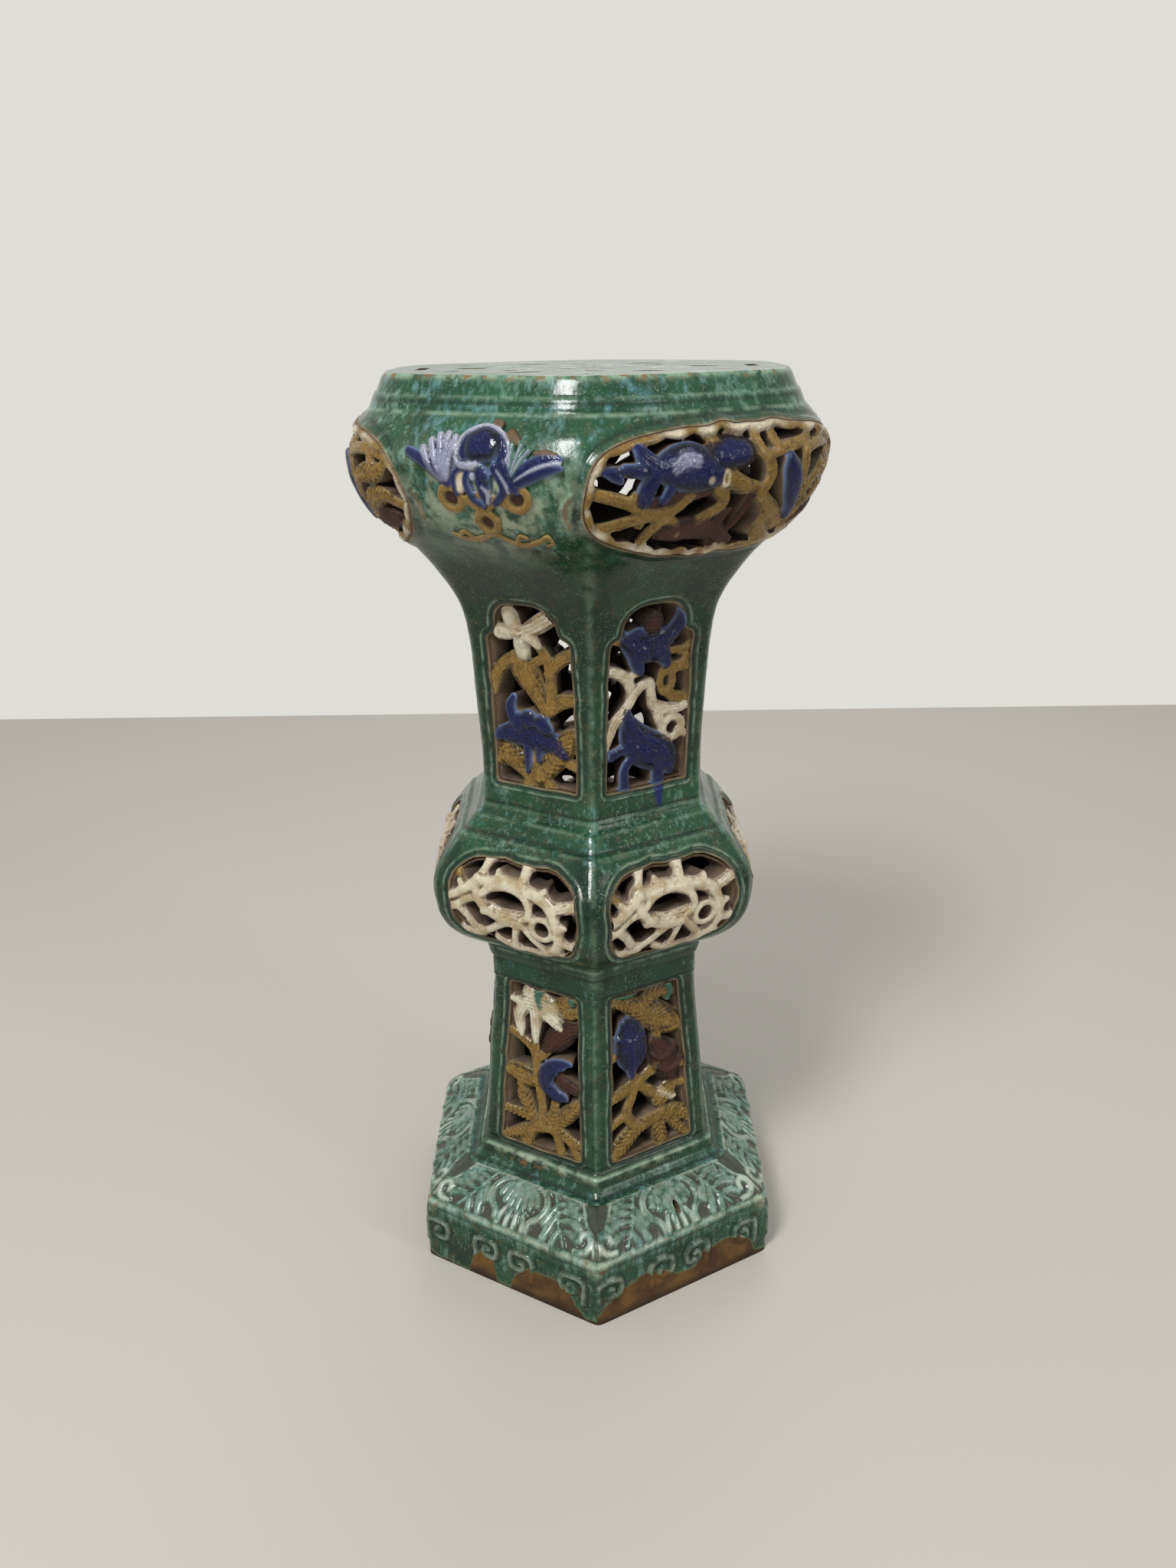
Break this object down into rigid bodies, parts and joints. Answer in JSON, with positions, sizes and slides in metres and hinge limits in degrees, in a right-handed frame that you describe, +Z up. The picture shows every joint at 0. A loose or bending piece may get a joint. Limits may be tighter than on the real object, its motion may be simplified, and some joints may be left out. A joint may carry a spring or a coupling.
{
  "type": "stoneware stand",
  "caption": "Tall hollow hexagonal glazed stoneware stand with a flared bowl, openwork windows, a knop and a spreading foot.",
  "frame": {"origin": "middle of the foot, on the surface that the stand rests on", "axes": "+Z up the stand's axis, and a corner of the hexagon towards -Y"},
  "size_m": [0.381, 0.4029, 0.8],
  "materials": {
    "green_glaze": "glossy mottled green glaze",
    "cream_glaze": "glossy cream glaze",
    "ochre_glaze": "glossy amber glaze",
    "blue_glaze": "glossy cobalt blue glaze"
  },
  "bodies": {
    "root": {"foot_plinth": "green_glaze", "base_torus": "green_glaze", "lower_column": "green_glaze", "waist_collar": "green_glaze", "knop": "green_glaze", "upper_column": "green_glaze", "bowl": "green_glaze", "top_slab": "green_glaze", "lower_panel_1": "ochre_glaze", "lower_panel_2": "ochre_glaze", "lower_panel_3": "ochre_glaze", "lower_panel_4": "ochre_glaze", "lower_panel_5": "ochre_glaze", "lower_panel_6": "ochre_glaze", "knop_panel_1": "cream_glaze", "knop_panel_2": "cream_glaze", "knop_panel_3": "cream_glaze", "knop_panel_4": "cream_glaze", "knop_panel_5": "cream_glaze", "knop_panel_6": "cream_glaze", "upper_panel_1": "ochre_glaze", "upper_panel_2": "ochre_glaze", "upper_panel_3": "ochre_glaze", "upper_panel_4": "ochre_glaze", "upper_panel_5": "ochre_glaze", "upper_panel_6": "ochre_glaze", "bowl_cartouche_1": "cream_glaze", "bowl_sprig_1": "blue_glaze", "bowl_cartouche_2": "cream_glaze", "bowl_sprig_2": "blue_glaze", "bowl_cartouche_3": "cream_glaze", "bowl_sprig_3": "blue_glaze"}
  },
  "joints": []
}
